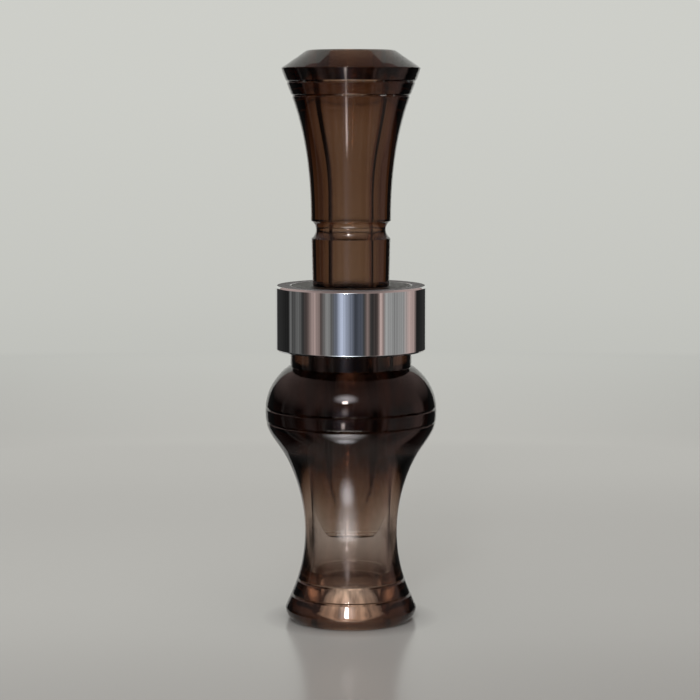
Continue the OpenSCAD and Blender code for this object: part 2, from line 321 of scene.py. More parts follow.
def insert_outline(s):
    """Closed outline of the insert from the axis: tenon, collar, groove, bell and the horn."""
    tip, mouth, top = low("insert").z, high("barrel").z, high("insert").z
    tenon_r = s.bore_d / 2 - s.fit_gap
    collar_mouth_r = tenon_r + s.socket_flare / 2
    collar_r = collar_mouth_r + s.socket_flare / 2 / s.socket_len * s.collar_len
    stem_r, bell_r, lip_r = s.stem_d / 2, high("insert").x, s.lip_d / 2
    lanyard_z = mouth + s.collar_len
    flare_z = lanyard_z + s.lanyard_w
    bell_z = flare_z + s.flare_len
    soft = INSERT_SOFT
    outline = [Vector((0, tip))]
    outline += rounded((0, tip), (tenon_r, tip), (tenon_r, mouth), soft)
    rows = [tip + (i + 1) * MM for i in range(int((mouth - s.tenon_len - tip) / MM))]
    outline += [Vector((tenon_r, z)) for z in rows]
    outline += [Vector((tenon_r, mouth - s.socket_len)), Vector((collar_mouth_r, mouth))]
    groove_r = ((s.lanyard_w / 2) ** 2 + s.lanyard_depth ** 2) / (2 * s.lanyard_depth)
    mean_r = (collar_r + stem_r) / 2
    centre = Vector((mean_r - s.lanyard_depth + groove_r, lanyard_z + s.lanyard_w / 2))
    half = math.asin(s.lanyard_w / 2 / groove_r)
    groove = []
    for i in range(2 * SOFT_STEPS // 3 + 1):
        a = -half + 2 * half * i / (2 * SOFT_STEPS // 3)
        groove.append(centre + groove_r * Vector((-math.cos(a), math.sin(a))))
    outline += rounded((collar_mouth_r, mouth), (collar_r, lanyard_z), groove[1], soft)
    outline += groove[1:-1]
    stem = Vector((stem_r, flare_z))
    skin = [stem] + eased(stem, (bell_r, bell_z), FLARE_PULL, 2 * SOFT_STEPS)
    for z in (bell_z - s.bell_line_low, bell_z - s.bell_line_high):
        skin = with_line(skin, z, s.line_depth, s.line_w)
    outline += rounded(groove[-2], skin[0], skin[2], soft)
    outline += skin[2:-1]
    lip_w = LIP_ROUND_SHARE[0] * (bell_r - lip_r)
    lip_h = LIP_ROUND_SHARE[1] * s.bevel_h
    lip_low = (lip_r + lip_w, top - lip_h)
    outline += rounded(skin[-2], skin[-1], lip_low, soft)
    pulls = (lip_r + lip_w / 2, top - lip_h / 4), (lip_r + lip_w / 4, top)
    outline += curve(lip_low, *pulls, (lip_r, top), ROUND_STEPS)
    mouth_r, horn_r, exhaust_r = s.bell_mouth_d / 2, s.horn_d / 2, s.exhaust_d / 2
    horn_z = top - s.horn_outer_len
    throat_z = horn_z - s.horn_inner_len
    outline += rounded((lip_r, top), (mouth_r, top), (horn_r, horn_z), 2 * soft)
    rim, bend, throat = (mouth_r, top), (horn_r, horn_z), (exhaust_r, throat_z)
    outline += rounded(rim, bend, throat, HORN_ROUND, HORN_STEPS[0])
    outline += rounded(bend, throat, (exhaust_r, tip), HORN_ROUND / 2, HORN_STEPS[1])
    stop = tip + s.channel_stop
    outline += [Vector((exhaust_r, z)) for z in reversed(rows) if z > stop]
    outline += [Vector((exhaust_r, stop)), Vector((0, stop))]
    return outline


# Tools of the workshop: what each piece is made with

MERGE = 0.001 * MM
MERGE_CUT = 0.02 * MM
SMOOTH_DEG = 30
BEVEL_DEG = 40
BEVEL_SEGMENTS = 3


def fresh(name):
    """An empty mesh object, open in edit mode."""
    if bpy.context.object and bpy.context.object.mode == "EDIT":
        bpy.ops.object.mode_set(mode="OBJECT")
    bpy.ops.object.select_all(action="DESELECT")
    bpy.ops.mesh.primitive_plane_add(size=MM, location=(0, 0, 0))
    bpy.context.object.name = name
    bpy.context.object.data.name = name
    bpy.ops.object.mode_set(mode="EDIT")
    bpy.ops.mesh.select_all(action="SELECT")


def extrude(value):
    """Extrude what is selected in edit mode."""
    bpy.ops.mesh.extrude_region_move(TRANSFORM_OT_translate={"value": value})


def draw(name, points, closed):
    """A new object in edit mode that is one line of edges through the points."""
    fresh(name)
    bpy.ops.mesh.merge(type="CENTER")
    bpy.ops.transform.translate(value=points[0])
    ends = points[1:] + points[:1] if closed else points[1:]
    for a, b in zip(points, ends):
        extrude(b - a)
    bpy.ops.mesh.select_all(action="SELECT")


def leave(smooth_deg=SMOOTH_DEG, threshold=MERGE):
    """Leave edit mode with doubles merged, faces outwards and smooth shading below an angle."""
    bpy.ops.mesh.select_all(action="SELECT")
    bpy.ops.mesh.remove_doubles(threshold=threshold)
    bpy.ops.mesh.normals_make_consistent(inside=False)
    bpy.ops.object.mode_set(mode="OBJECT")
    bpy.ops.object.shade_smooth_by_angle(angle=math.radians(smooth_deg))
    return bpy.context.object


def turned(name, outline, turns, closed, smooth_deg=SMOOTH_DEG):
    """A piece turned round the axis from an outline of radius and height."""
    draw(name, [Vector((p[0], 0, p[1])) for p in outline], closed)
    bpy.ops.mesh.spin(steps=turns, angle=2 * math.pi, center=(0, 0, 0), axis=(0, 0, 1))
    return leave(smooth_deg)


def prism(name, points, value):
    """A block in edit mode, extruded from a closed outline."""
    draw(name, points, closed=True)
    bpy.ops.mesh.remove_doubles(threshold=MERGE)
    bpy.ops.mesh.edge_face_add()
    extrude(value)


def pick(obj):
    """Select one object alone and make it active."""
    bpy.ops.object.select_all(action="DESELECT")
    obj.select_set(True)
    bpy.context.view_layer.objects.active = obj


def cut_with(obj, cutter):
    """Cut one object out of another with a boolean, and remove the cutter."""
    pick(obj)
    cut = obj.modifiers.new("Cut", "BOOLEAN")
    cut.operation = "DIFFERENCE"
    cut.solver = "EXACT"
    cut.object = cutter
    bpy.ops.object.modifier_apply(modifier=cut.name)
    bpy.data.objects.remove(cutter, do_unlink=True)


def soften(obj, width):
    """Round the sharp edges of an object."""
    pick(obj)
    bpy.ops.object.mode_set(mode="EDIT")
    leave(threshold=MERGE_CUT)
    edge = obj.modifiers.new("Soft edges", "BEVEL")
    edge.width = width
    edge.segments = BEVEL_SEGMENTS
    edge.limit_method = "ANGLE"
    edge.angle_limit = math.radians(BEVEL_DEG)
    edge.use_clamp_overlap = False
    edge.harden_normals = True
    bpy.ops.object.modifier_apply(modifier=edge.name)


# Materials

FLOAT = "NodeSocketFloat"
VECTOR = "NodeSocketVector"


class Wires:
    """The node tree of a material, a group or the world, with short calls that add to it."""

    def __init__(self, tree):
        self.nodes, self.links = tree.nodes, tree.links

    def put(self, socket, value):
        """Link an input to an output, or set it to a constant."""
        if isinstance(value, bpy.types.NodeSocket):
            self.links.new(value, socket)
        else:
            socket.default_value = value

    def add(self, kind, values=None, **settings):
        """A new node with its settings, and its inputs linked or set."""
        node = self.nodes.new(kind)
        for label, value in settings.items():
            setattr(node, label, value)
        for label, value in (values or {}).items():
            self.put(node.inputs[label], value)
        return node

    def group(self, tree, values):
        """Outputs of a shader group that is placed here."""
        return self.add("ShaderNodeGroup", values, node_tree=tree).outputs

    def math(self, kind, *values, clamp=False):
        """Output of a math node."""
        node = self.add("ShaderNodeMath", dict(enumerate(values)), operation=kind, use_clamp=clamp)
        return node.outputs[0]

    def vector(self, kind, values):
        """Output of a vector math node."""
        return self.add("ShaderNodeVectorMath", values, operation=kind).outputs[0]

    def scale(self, colour, factor):
        """A colour times a factor."""
        return self.vector("SCALE", {0: colour, "Scale": factor})

    def span(self, value, low_in, high_in, low_out=0.0, high_out=1.0):
        """A value carried over from one range to another, and clamped there."""
        ends = {"From Min": low_in, "From Max": high_in, "To Min": low_out, "To Max": high_out}
        return self.add("ShaderNodeMapRange", {"Value": value, **ends}).outputs["Result"]

    def split(self, vector):
        """X, Y and Z of a vector."""
        return self.add("ShaderNodeSeparateXYZ", {0: vector}).outputs

    def radius(self, x, y):
        """Distance from the axis."""
        flat = self.add("ShaderNodeCombineXYZ", {"X": x, "Y": y}).outputs[0]
        return self.add("ShaderNodeVectorMath", {0: flat}, operation="LENGTH").outputs["Value"]

    def noise(self, where, scale, detail, kind="3D", rough=0.5):
        """A noise texture over a place, or along one number with the kind 1D."""
        slot = "W" if kind == "1D" else "Vector"
        values = {slot: where, "Scale": scale, "Detail": detail, "Roughness": rough}
        return self.add("ShaderNodeTexNoise", values, noise_dimensions=kind).outputs["Fac"]

    def stretched(self, where, scale):
        """A place with its axes scaled."""
        return self.add("ShaderNodeMapping", {"Vector": where, "Scale": scale}).outputs[0]

    def mix(self, factor, a, b):
        """A colour between two."""
        values = {"Factor": factor, "A": a, "B": b}
        return self.add("ShaderNodeMix", values, data_type="RGBA").outputs["Result"]

    def blend(self, factor, a, b):
        """A shader between two."""
        return self.add("ShaderNodeMixShader", {0: factor, 1: a, 2: b}).outputs[0]

    def ramp(self, value, stops):
        """A colour ramp of places and colours."""
        node = self.add("ShaderNodeValToRGB", {"Fac": value})
        elements = node.color_ramp.elements
        elements.remove(elements[-1])
        for i, (place, colour) in enumerate(stops):
            stop = elements[0] if i == 0 else elements.new(place)
            stop.position = place
            stop.color = (*colour, 1)
        return node.outputs["Color"]

    def ray(self, *kinds):
        """1 for any of the named kinds of ray."""
        path = self.add("ShaderNodeLightPath").outputs
        total = path[kinds[0]]
        for kind in kinds[1:]:
            total = self.math("MAXIMUM", total, path[kind])
        return total


def new_material(name):
    """A material with its wires, its Principled shader and the inputs of its output."""
    mat = bpy.data.materials.new(name)
    mat.use_nodes = True
    nodes = mat.node_tree.nodes
    return mat, Wires(mat.node_tree), nodes["Principled BSDF"], nodes["Material Output"].inputs


def fill(wires, shader, **values):
    """Link or set inputs of a shader that are named with underscores."""
    for label, value in values.items():
        wires.put(shader.inputs[label.replace("_", " ")], value)


def new_group(name, inputs, outputs):
    """A shader group with its wires and ends. An input without a value and Normal are vectors."""
    tree = bpy.data.node_groups.new(name, "ShaderNodeTree")
    for label, value in inputs.items():
        kind = VECTOR if value is None else FLOAT
        socket = tree.interface.new_socket(label, in_out="INPUT", socket_type=kind)
        if value is not None:
            socket.default_value = value
    for label in outputs:
        kind = VECTOR if label == "Normal" else FLOAT
        tree.interface.new_socket(label, in_out="OUTPUT", socket_type=kind)
    given = tree.nodes.new("NodeGroupInput").outputs
    return tree, Wires(tree), given, tree.nodes.new("NodeGroupOutput").inputs


FINISH_SPAN = (0.12, 0.4)
RINGS_DETAIL = 3
BLOTCH_DETAIL = 4


def turned_finish():
    """Shader group: marks of turning and polishing, as a roughness and a height."""
    name = "Turned finish"
    if name in bpy.data.node_groups:
        return bpy.data.node_groups[name]
    inputs = {"Vector": None, "Smooth": 0.0, "Dull": 0.05, "Rings": 3000.0, "Blotches": 300.0}
    tree, wires, given, result = new_group(name, inputs, ("Roughness", "Height"))
    rings = wires.noise(wires.split(given["Vector"])["Z"], given["Rings"], RINGS_DETAIL, "1D")
    blotch = wires.noise(given["Vector"], given["Blotches"], BLOTCH_DETAIL)
    both = wires.math("MULTIPLY", rings, blotch)
    wires.put(result["Roughness"], wires.span(both, *FINISH_SPAN, given["Smooth"], given["Dull"]))
    wires.put(result["Height"], rings)
    return tree


# The bore's ends, as the inputs of its group, and the marks of the reamer
BORE_ENDS = ("Low Z", "High Z", "Low Radius", "High Radius")
REAM_SCALE = 6000
REAM_DETAIL = 1
REAM_SPAN = (0.5, 0.65)
GRAIN_SCALE = 50000


def reamed_bore():
    """Shader group: roughness and leaning normals in a bore, whose radius grows with the height."""
    name = "Reamed bore"
    if name in bpy.data.node_groups:
        return bpy.data.node_groups[name]
    inputs = {"Vector": None, "Low Z": 0.0, "High Z": 1.0, "Low Radius": 0.01, "High Radius": 0.01}
    inputs |= {"Sharp": 0.02, "Dull": 0.06, "Lean": 0.12}
    tree, wires, given, result = new_group(name, inputs, ("Roughness", "Normal"))
    x, y, z = wires.split(given["Vector"])
    limits = [given[label] for label in BORE_ENDS]
    inside = wires.math("LESS_THAN", wires.radius(x, y), wires.span(z, *limits))
    marks = wires.noise(z, REAM_SCALE, REAM_DETAIL, "1D")
    dull = wires.span(marks, *REAM_SPAN, given["Sharp"], given["Dull"])
    wires.put(result["Roughness"], wires.math("MULTIPLY", dull, inside))
    fine = {"W": wires.math("MULTIPLY", z, GRAIN_SCALE)}
    grain = wires.add("ShaderNodeTexWhiteNoise", fine, noise_dimensions="1D")
    centred = wires.math("SUBTRACT", grain.outputs["Value"], 0.5)
    lean = wires.math("MULTIPLY", centred, centred)
    # Eight times its cube lies between -1 and 1 and is mostly small
    for factor in (centred, 8.0, given["Lean"], inside):
        lean = wires.math("MULTIPLY", lean, factor)
    tilt = wires.add("ShaderNodeCombineXYZ", {"Z": lean}).outputs[0]
    surface = wires.add("ShaderNodeNewGeometry").outputs["Normal"]
    leaned = wires.vector("ADD", {0: surface, 1: tilt})
    wires.put(result["Normal"], wires.vector("NORMALIZE", {0: leaned}))
    return tree


# How far a normal has turned to an axis where a face counts as flat, and the fine lines of sanding
FACING_SPAN = (0.9, 0.94)
END_SHARE = 1.6
SANDING_SCALE = 1500
SANDING_DETAIL = 3
SANDING_STRETCH = (1, 1, 0.1)
SANDING_SPAN = (0.3, 0.7)


def milled_face():
    """Shader group: roughness of faces milled on +Y below Top Z, or cut flat above End Z."""
    name = "Milled face"
    if name in bpy.data.node_groups:
        return bpy.data.node_groups[name]
    inputs = {"Vector": None, "Top Z": 0.0, "End Z": 1.0, "Sharp": 0.2, "Dull": 0.4}
    tree, wires, given, result = new_group(name, inputs, ("Roughness",))
    z = wires.split(given["Vector"])["Z"]
    facing = wires.split(wires.add("ShaderNodeNewGeometry").outputs["Normal"])
    flat = wires.span(facing["Y"], *FACING_SPAN)
    below = wires.math("LESS_THAN", z, given["Top Z"])
    end = wires.span(facing["Z"], *FACING_SPAN, 0.0, END_SHARE)
    above = wires.math("GREATER_THAN", z, given["End Z"])
    milled, cut = wires.math("MULTIPLY", flat, below), wires.math("MULTIPLY", end, above)
    mask = wires.math("MAXIMUM", milled, cut)
    sanding = wires.stretched(given["Vector"], SANDING_STRETCH)
    sanding = wires.noise(sanding, SANDING_SCALE, SANDING_DETAIL)
    dull = wires.span(sanding, *SANDING_SPAN, given["Sharp"], given["Dull"])
    wires.put(result["Roughness"], wires.math("MULTIPLY", dull, mask))
    return tree


# Turned finishes: smoothest and dullest roughness, scales of the rings and blotches, and relief
ACRYLIC_FINISH = (0.0, 0.02, 2500, 400, 0.0005 * MM)
METAL_FINISH = (0.01, 0.05, 4000, 500, 0.002 * MM)
FILM_FINISH = (0.03, 0.15, 2500, 900, 0.0005 * MM)

# How fast the acrylic takes light away
TINT_DENSITY = 400
ACRYLIC_IOR = 1.49
FILM_IOR = 1.57
SHEEN_TINT = (1.0, 0.86, 0.82)
MILL_SHARP = 0.2
MILL_DULL = 0.4


def place_finish(wires, shader, finish):
    """Put the turned finish in a material; returns its coordinates, its roughness and its bump."""
    smooth, dull, rings, blotches, bump = finish
    where = wires.add("ShaderNodeTexCoord").outputs["Object"]
    values = {"Vector": where, "Smooth": smooth, "Dull": dull, "Rings": rings, "Blotches": blotches}
    marks = wires.group(turned_finish(), values)
    relief = wires.add("ShaderNodeBump", {"Distance": bump, "Height": marks["Height"]})
    fill(wires, shader, Roughness=marks["Roughness"], Normal=relief.outputs["Normal"])
    return where, marks["Roughness"], relief


def acrylic(name, colour, bore, milled_z, end_z):
    """Clear acrylic that absorbs light: polished, but reamed in its bore and dull where milled."""
    mat, wires, shader, out = new_material(name)
    where, rough, relief = place_finish(wires, shader, ACRYLIC_FINISH)
    reamed = wires.group(reamed_bore(), {"Vector": where, **dict(zip(BORE_ENDS, bore))})
    wires.put(relief.inputs["Normal"], reamed["Normal"])
    cuts = {"Top Z": milled_z, "End Z": end_z, "Sharp": MILL_SHARP, "Dull": MILL_DULL}
    milled = wires.group(milled_face(), {"Vector": where, **cuts})
    rough = wires.math("ADD", reamed["Roughness"], rough)
    rough = wires.math("ADD", rough, milled["Roughness"])
    fill(wires, shader, Base_Color=(1, 1, 1, 1), Specular_Tint=(*SHEEN_TINT, 1), Roughness=rough)
    fill(wires, shader, Transmission_Weight=1.0, IOR=ACRYLIC_IOR)
    body = wires.add("ShaderNodeVolumeAbsorption", {"Color": (*colour, 1), "Density": TINT_DENSITY})
    wires.put(out["Volume"], body.outputs["Volume"])
    return mat


# The flat ends of the band are left as turned, and darker than its polished face
TURNED_SHARE = 0.2
TURNED_ROUGH = 0.6
TURNED_MARKS = 900
TURNED_DETAIL = 2
TURNED_SPAN = (0.35, 0.65)
ENDS_SPAN = (0.9, 0.95)


def polished_metal(name, colour):
    """Mirror-polished aluminium with faint turning marks, duller on its flat ends."""
    mat, wires, shader, _ = new_material(name)
    where, rough, _ = place_finish(wires, shader, METAL_FINISH)
    facing = wires.split(wires.add("ShaderNodeNewGeometry").outputs["True Normal"])
    flat = wires.span(wires.math("ABSOLUTE", facing["Z"]), *ENDS_SPAN)
    marks = wires.noise(where, TURNED_MARKS, TURNED_DETAIL)
    dull = wires.span(marks, *TURNED_SPAN, TURNED_SHARE / 2, TURNED_SHARE)
    colours = wires.mix(flat, (*colour, 1), wires.scale(colour, dull))
    rough = wires.math("ADD", rough, wires.span(flat, 0.0, 1.0, 0.0, TURNED_ROUGH))
    polish = wires.math("SUBTRACT", 1.0, flat)
    fill(wires, shader, Base_Color=colours, Metallic=polish, Roughness=rough)
    return mat


def clear_film(name, colour):
    """Clear polyester film with a fine haze."""
    mat, wires, shader, _ = new_material(name)
    place_finish(wires, shader, FILM_FINISH)
    fill(wires, shader, Base_Color=(*colour, 1), Transmission_Weight=1.0, IOR=FILM_IOR)
    return mat


PORE_SCALE = 1400
PORE_SHARE = 0.35
PORE_EDGE = 0.45
CORK_ROUGH = 0.85
CORK_RELIEF = 0.05 * MM


def cork_grain(name, colour):
    """Cork: pale grain with dark pores."""
    mat, wires, shader, _ = new_material(name)
    where = wires.add("ShaderNodeTexCoord").outputs["Object"]
    cells = wires.add("ShaderNodeTexVoronoi", {"Vector": where, "Scale": PORE_SCALE})
    cells = cells.outputs["Distance"]
    grain = wires.ramp(cells, ((0.0, [c * PORE_SHARE for c in colour]), (PORE_EDGE, colour)))
    relief = wires.add("ShaderNodeBump", {"Distance": CORK_RELIEF, "Height": cells})
    fill(wires, shader, Base_Color=grain, Roughness=CORK_ROUGH, Normal=relief.outputs["Normal"])
    return mat


def finish_piece(obj, mat, node, body):
    """Give a piece its material, hide the node that it stands for, and hang it on what it rides on.
    """
    obj.data.materials.clear()
    obj.data.materials.append(mat)
    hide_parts(node)
    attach(obj, body)


# How much wider than a bore its reamed finish reaches, and where cut ends of acrylic begin
BARREL_REAM = 0.4 * MM
HORN_REAM = 0.6 * MM
END_DROP = 0.1 * MM
NO_END_Z = 1.0
NO_MILL_Z = -MM

INSERT_EDGE = 0.2 * MM
WEDGE_EDGE = 0.25 * MM
WEDGE_FACETS = 96


class CALL_OT_barrel(bpy.types.Operator):
    """Turn the acrylic barrel"""

    bl_idname = "call.barrel"
    bl_label = "Barrel"

    def execute(self, context):
        s, c = context.scene.call_sizes, context.scene.call_colours
        obj = turned("barrel_body", barrel_outline(s), s.turns, closed=True)
        top = high("barrel").z
        bore = (0, top, s.bore_d / 2 + BARREL_REAM, s.bore_d / 2 + BARREL_REAM)
        mat = acrylic("Smoke barrel", c.barrel, bore, NO_MILL_Z, top - END_DROP)
        finish_piece(obj, mat, "barrel", "barrel")
        return {"FINISHED"}


class CALL_OT_band(bpy.types.Operator):
    """Turn the polished band"""

    bl_idname = "call.band"
    bl_label = "Band"

    def execute(self, context):
        s, c = context.scene.call_sizes, context.scene.call_colours
        obj = turned("band_ring", band_outline(s), s.turns, closed=True)
        mat = polished_metal("Polished band", c.band)
        finish_piece(obj, mat, "band", "barrel")
        return {"FINISHED"}


def face_y(s, z):
    """Where the board's face lies at a height, below its flat part."""
    drop = high("barrel").z - s.tenon_len - s.face_flat_len - z
    return -s.face_drop - s.face_curve_r + math.sqrt(s.face_curve_r ** 2 - drop ** 2)


def board_cutter(s):
    """What is milled away above the face of the toneboard."""
    wide = s.bore_d + 2 * MM
    notch_z = high("barrel").z - s.tenon_len
    curve_z = notch_z - s.face_flat_len
    past_z = low("insert").z - 2 * MM
    outline = [(wide, notch_z), (-s.face_drop, notch_z)]
    steps = 2 * SOFT_STEPS
    for i in range(steps + 1):
        z = curve_z - (curve_z - past_z) * i / steps
        outline.append((face_y(s, z), z))
    outline.append((wide, past_z))
    prism("board_cutter", [Vector((-wide / 2, *p)) for p in outline], (wide, 0, 0))
    return leave()


def side_cutter(s, side):
    """What is filed off one side of the toneboard's tip, to leave it round."""
    tip, end, past = low("insert").z, s.tip_w / 2, s.bore_d
    root_z = tip + s.tip_taper_len
    root = math.sqrt((s.bore_d / 2 - s.fit_gap) ** 2 - face_y(s, root_z) ** 2) + TIP_MARGIN
    outline = [(end, tip - MM), (end, tip), *eased((end, tip), (root, root_z), TIP_SIDE_PULL)]
    outline += [(past, root_z), (past, tip - MM)]
    points = [Vector((side * p[0], -past, p[1])) for p in outline]
    prism("side_cutter", points, (0, past, 0))
    return leave()


class CALL_OT_insert(bpy.types.Operator):
    """Turn the insert and mill its toneboard"""

    bl_idname = "call.insert"
    bl_label = "Insert"

    def execute(self, context):
        s, c = context.scene.call_sizes, context.scene.call_colours
        obj = turned("insert_body", insert_outline(s), s.turns, closed=False)
        cut_with(obj, board_cutter(s))
        for side in (-1, 1):
            cut_with(obj, side_cutter(s, side))
        soften(obj, INSERT_EDGE)
        top = high("insert").z
        throat_z = top - s.horn_outer_len - s.horn_inner_len
        bore = (throat_z, top, s.exhaust_d / 2 + HORN_REAM, s.bell_mouth_d / 2 + HORN_REAM)
        notch_z = high("barrel").z - s.tenon_len
        mat = acrylic("Smoke insert", c.insert, bore, notch_z, NO_END_Z)
        finish_piece(obj, mat, "insert", "insert")
        return {"FINISHED"}


class CALL_OT_reed(bpy.types.Operator):
    """Cut the reed from clear film"""

    bl_idname = "call.reed"
    bl_label = "Reed"

    def execute(self, context):
        s, c = context.scene.call_sizes, context.scene.call_colours
        low_p, high_p = low("reed"), high("reed")
        clip, half = s.reed_clip, high_p.x
        left = [(-half, high_p.z), (-half, low_p.z + clip), (-half + clip, low_p.z)]
        outline = left + [(-x, z) for x, z in reversed(left)]
        points = [Vector((x, low_p.y, z)) for x, z in outline]
        prism("reed_film", points, (0, high_p.y - low_p.y, 0))
        z = low_p.z + MM
        while z < high_p.z - MM / 2:
            bpy.ops.mesh.select_all(action="SELECT")
            bpy.ops.mesh.bisect(plane_co=(0, 0, z), plane_no=(0, 0, 1))
            z += MM
        obj = leave()
        obj.data.materials.clear()
        obj.data.materials.append(clear_film("Reed film", c.reed))
        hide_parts("reed")
        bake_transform(obj)
        return {"FINISHED"}


def slice_off(point, normal):
    """Cut away what lies beyond a plane, in edit mode, and close the cut."""
    bpy.ops.mesh.select_all(action="SELECT")
    bpy.ops.mesh.bisect(plane_co=point, plane_no=normal, use_fill=True, clear_outer=True)


class CALL_OT_wedge(bpy.types.Operator):
    """Shape the cork wedge"""

    bl_idname = "call.wedge"
    bl_label = "Wedge"

    def execute(self, context):
        s, c = context.scene.call_sizes, context.scene.call_colours
        low_p, high_p = low("wedge"), high("wedge")
        depth, middle = high_p.z - low_p.z, (high_p.z + low_p.z) / 2
        bpy.ops.object.select_all(action="DESELECT")
        bpy.ops.mesh.primitive_cylinder_add(
            vertices=WEDGE_FACETS, radius=high_p.y, depth=depth, location=(0, 0, middle)
        )
        obj = context.object
        obj.name = "cork_wedge"
        bpy.ops.object.transform_apply(location=True, rotation=True, scale=True)
        bpy.ops.object.mode_set(mode="EDIT")
        slice_off((0, low_p.y, 0), (0, -1, 0))
        fall = Vector((0, depth, -s.wedge_fall)).normalized()
        slice_off((0, high_p.y, high_p.z), fall)
        obj = leave()
        soften(obj, WEDGE_EDGE)
        finish_piece(obj, cork_grain("Cork", c.cork), "wedge", "wedge")
        return {"FINISHED"}


# The cove, in metres
COVE_R = 1.2
COVE_FILLET = 0.5
COVE_TOP = 1.7
COVE_STEPS = 24
COVE_TURNS = 128
COVE_SMOOTH_DEG = 60
FLOOR_RINGS = (0, 0.1, 0.2, 0.3)
FLOOR_OUTER = 0.55
FLOOR_DROP = 0.02 * MM

# What rays other than the camera's see of it: a strip of table in front, and a cone behind
TABLE_R = 0.45
TABLE_FRONT = -0.11
TABLE_SIDE_IN = 0.022
TABLE_SIDE_OUT = 0.05
BACKDROP_NEAR = (0.08, 0.14)
BACKDROP_HALF_DEG = 27
BACKDROP_THROUGH_DEG = 52

# What the paper adds to its own diffuse light: the distance in metres along the floor and up the
# wall, and the level there. It is counted backwards or forwards from the paper's darkest line in
# front of the call, or sideways from the edge of the plain strip that the camera sees
PAPER_DARK_Y = -0.07
PAPER_PLAIN_X = 0.1
PAPER_GLOW = (
    (0.0, 0.058), (0.03, 0.089), (0.055, 0.118), (0.08, 0.129), (0.12, 0.124),
    (0.18, 0.108), (0.214, 0.111), (0.255, 0.126), (0.30, 0.132), (0.333, 0.168),
    (0.37, 0.224), (0.425, 0.310), (0.482, 0.401), (0.509, 0.446), (0.537, 0.489),
    (0.567, 0.526), (0.79, 0.551), (1.0, 0.578), (1.2, 0.606), (1.33, 0.615),
)

# From here on the paper is out of the lamps' reach and shows only its own tone
PAPER_FAR = (0.25, 0.5)

# The right front of the paper is painted a little darker, a painted shade that only the camera
# sees: middle and half sizes in metres, and strength
PAINTED_SHADE_CORNER = ((0.12, -0.02, 0.2, 0.22), -0.05)

# The ceiling's tone, and how much of it is left overhead
CEILING = (0.38, 0.29, 0.27)
ZENITH_SHARE = 0.5

# Soft lights round the stage: azimuth, elevation, half width and half height in degrees, then
# strength and tone
SOFT_LIGHTS = (
    ((-8, 41, 24, 13), 7.0, (0.95, 1.06, 1.15)),
    ((-8, 12, 7, 13), 2.5, (0.95, 0.97, 1.0)),
)

# Painted glows on the table in front, out of the picture, which only reflections and refractions
# see
# and which paint highlights on the call: azimuth in degrees and distance in metres, then half width
# and half depth in the same units, strength and tone
PAINTED_TABLE_GLOWS = (
    ((-8, 0.082, 34, 0.054), 7.0, (0.96, 1.08, 1.14)),
    ((-8, 0.042, 20, 0.009), 6.0, (0.92, 1.07, 1.18)),
    ((-10, 0.22, 4, 0.12), 9.0, (1.0, 1.0, 1.0)),
)

# The shade of the foot on the paper, from the radius where it is full to where it ends
SHADE_R = (0.0122, 0.019)

# What the clear foot shows of the paper is painted light and painted shade: a painted glow, in
# streaks, in the mouthpiece hole and round the foot stands for the light that the foot gathers
# there;
# the paper is painted darker under the ring that it stands on, and a glow of negative strength
# paints a dark crescent behind the foot. Middle and half sizes in metres, strength and tone
RING_R = (0.0140, 0.0152)
RING_SHARE = 0.7
HOLE_R = 0.0076
RIPPLE = (0.35, 1.7)
PAINTED_FOOT_LIGHT = (
    ((-0.001, 0.0, 0.011, 0.018), 0.8, (1.0, 0.86, 0.72)),
    ((-0.001, 0.0, 0.0014, 0.0075), 0.3, (1.0, 0.92, 0.82)),
    ((-0.0145, 0.003, 0.007, 0.008), 3.6, (0.9, 0.9, 0.85)),
    ((0.0145, 0.003, 0.007, 0.008), 3.2, (0.9, 0.9, 0.85)),
    ((0.0, 0.0148, 0.012, 0.003), -0.5, (1.0, 1.0, 1.0)),
)
STREAKS = 600
STREAK_STRETCH = 0.2

# The room round the stage, as reflections show it: azimuth in degrees, 0 towards the camera and
# 90 to the right, with the level of light that comes from there and its tone
PLAIN = (1.0, 1.0, 0.98)
WARM = (1.0, 0.76, 0.70)
COOL = (0.72, 0.80, 1.0)
ROOM = (
    (-153, 0.40, PLAIN), (-151, 0.03, PLAIN), (-109, 0.012, PLAIN), (-104, 0.17, PLAIN),
    (-100, 0.05, PLAIN), (-86, 0.13, PLAIN), (-78, 0.03, PLAIN), (-69, 0.08, WARM),
    (-58, 0.38, WARM), (-50, 0.24, WARM), (-46, 0.06, WARM), (-36, 0.24, PLAIN),
    (-29, 0.10, PLAIN), (-22, 0.17, COOL), (-14, 0.70, COOL), (-8, 0.42, COOL),
    (2, 0.16, COOL), (6, 0.06, COOL), (16, 0.11, COOL), (20, 0.04, PLAIN),
    (25, 0.22, WARM), (30, 0.03, PLAIN), (41, 0.06, WARM), (46, 0.58, WARM),
    (50, 0.17, WARM), (54, 0.34, PLAIN), (70, 0.23, PLAIN), (86, 0.29, PLAIN),
    (99, 0.44, WARM), (110, 0.37, WARM), (118, 0.012, PLAIN), (150, 0.03, PLAIN),
)

# Fine upright stripes of the room: their number round the room, and the darkest and lightest share
STRIPES = 22
STRIPE_RANGE = (0.75, 1.25)
STRIPE_ROUGH = 0.7

# Spans of noise that ripples and stripes are read from
RIPPLE_SPAN = (0.36, 0.66)
STRIPE_SPAN = (0.35, 0.65)
LINE_DETAIL = 4

# Elevation in radians where the room turns into the ceiling, and where the ceiling gets darker
OVERHEAD_SPAN = (0.12, 0.45)
ZENITH_SPAN = (0.8, 1.2)

# What the camera would see beyond the cove, and how satin the paper is
BEYOND = (0.6, 0.6, 0.57)
PAPER_ROUGH = 0.2

